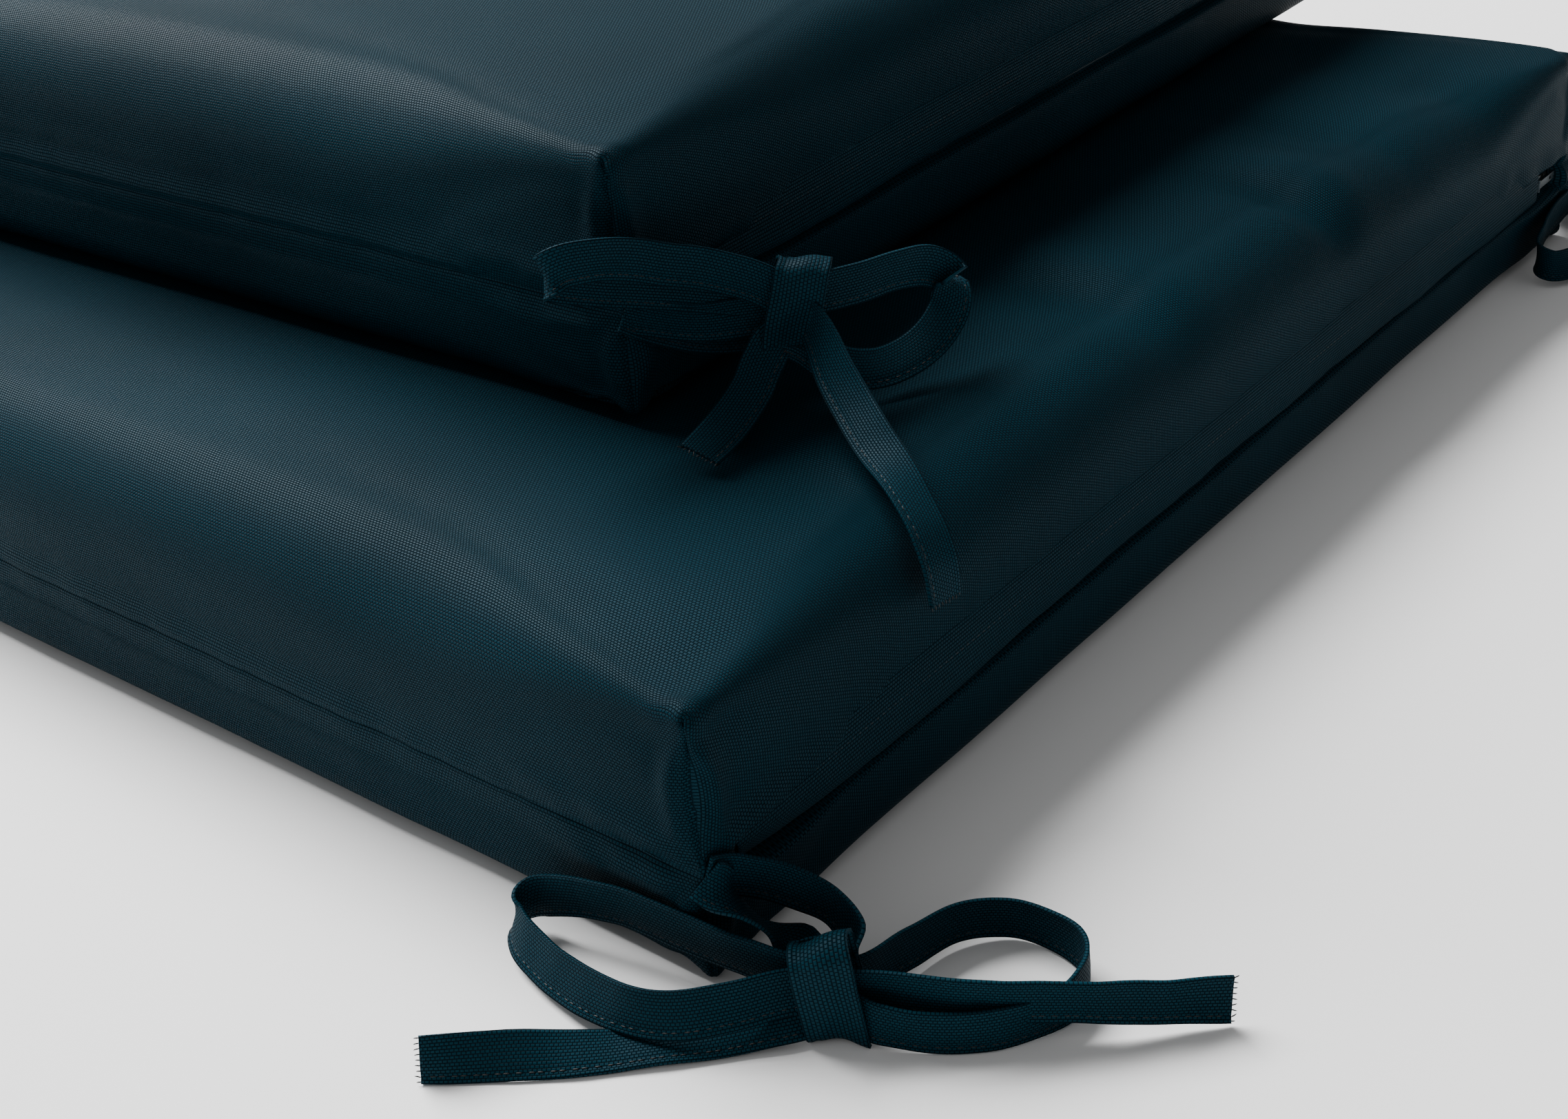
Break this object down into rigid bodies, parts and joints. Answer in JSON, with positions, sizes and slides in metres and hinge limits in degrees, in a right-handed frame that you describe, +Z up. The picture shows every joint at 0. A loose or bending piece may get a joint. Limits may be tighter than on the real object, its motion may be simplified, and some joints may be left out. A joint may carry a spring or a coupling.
{
  "type": "futon mattress",
  "caption": "Futon mattress in two stacked halves: dark zip-covered box pads with rounded edges and cloth ties in bows at the corners.",
  "frame": {"origin": "centre of the lower pad's underside", "axes": "+X along the pads' length towards the end with the zips, +Y across the pads, +Z up"},
  "size_m": [2.2584, 0.9427, 0.1844],
  "materials": {
    "cover_cloth": "satin",
    "tie_cloth": "satin",
    "zip_tape": "matte",
    "zip_coil": "satin",
    "zip_metal": "satin",
    "lining": "matte",
    "wadding": "matte",
    "foam": "matte"
  },
  "bodies": {
    "lower_pad": {"lower_cover_top": "cover_cloth", "lower_cover_bottom": "cover_cloth", "lower_zip_flap": "cover_cloth", "lower_zip_tapes": "zip_tape", "lower_zip_coil": "zip_coil", "lower_zip_stops": "zip_metal", "lower_lining": "lining", "lower_wadding_top": "wadding", "lower_foam_core": "foam", "lower_wadding_bottom": "wadding", "lower_tie_front_right_1": "tie_cloth", "lower_tie_front_right_2": "tie_cloth", "lower_tie_back_right_1": "tie_cloth", "lower_tie_back_right_2": "tie_cloth", "lower_tie_back_left_1": "tie_cloth", "lower_tie_back_left_2": "tie_cloth", "lower_tie_front_left_1": "tie_cloth", "lower_tie_front_left_2": "tie_cloth"},
    "lower_slider": {"lower_zip_slider": "zip_metal"},
    "lower_pull": {"lower_zip_pull": "zip_metal"},
    "upper_pad": {"upper_cover_top": "cover_cloth", "upper_cover_bottom": "cover_cloth", "upper_zip_flap": "cover_cloth", "upper_zip_tapes": "zip_tape", "upper_zip_coil": "zip_coil", "upper_zip_stops": "zip_metal", "upper_lining": "lining", "upper_wadding_top": "wadding", "upper_foam_core": "foam", "upper_wadding_bottom": "wadding", "upper_tie_front_right_1": "tie_cloth", "upper_tie_front_right_2": "tie_cloth", "upper_tie_back_right_1": "tie_cloth", "upper_tie_back_right_2": "tie_cloth", "upper_tie_back_left_1": "tie_cloth", "upper_tie_back_left_2": "tie_cloth", "upper_tie_front_left_1": "tie_cloth", "upper_tie_front_left_2": "tie_cloth"},
    "upper_slider": {"upper_zip_slider": "zip_metal"},
    "upper_pull": {"upper_zip_pull": "zip_metal"}
  },
  "joints": [
    {"name": "upper_pad_lift", "type": "slide", "parent": "lower_pad", "child": "upper_pad", "axis": [0, 0, 1], "range_m": [0, 0.3]},
    {"name": "lower_slider_run", "type": "slide", "parent": "lower_pad", "child": "lower_slider", "axis": [0, 1, 0], "range_m": [-0.5446, 0]},
    {"name": "lower_pull_swing", "type": "hinge", "parent": "lower_slider", "child": "lower_pull", "pos_m": [0.94785, 0.2671, 0.0335], "axis": [0, 0, -1], "range_deg": [0, 100]},
    {"name": "upper_slider_run", "type": "slide", "parent": "upper_pad", "child": "upper_slider", "axis": [-0.0218, 0.9998, 0], "range_m": [-0.5446, 0]},
    {"name": "upper_pull_swing", "type": "hinge", "parent": "upper_slider", "child": "upper_pull", "pos_m": [0.8238, 0.37571, 0.1259], "axis": [0, 0, -1], "range_deg": [0, 100]}
  ]
}
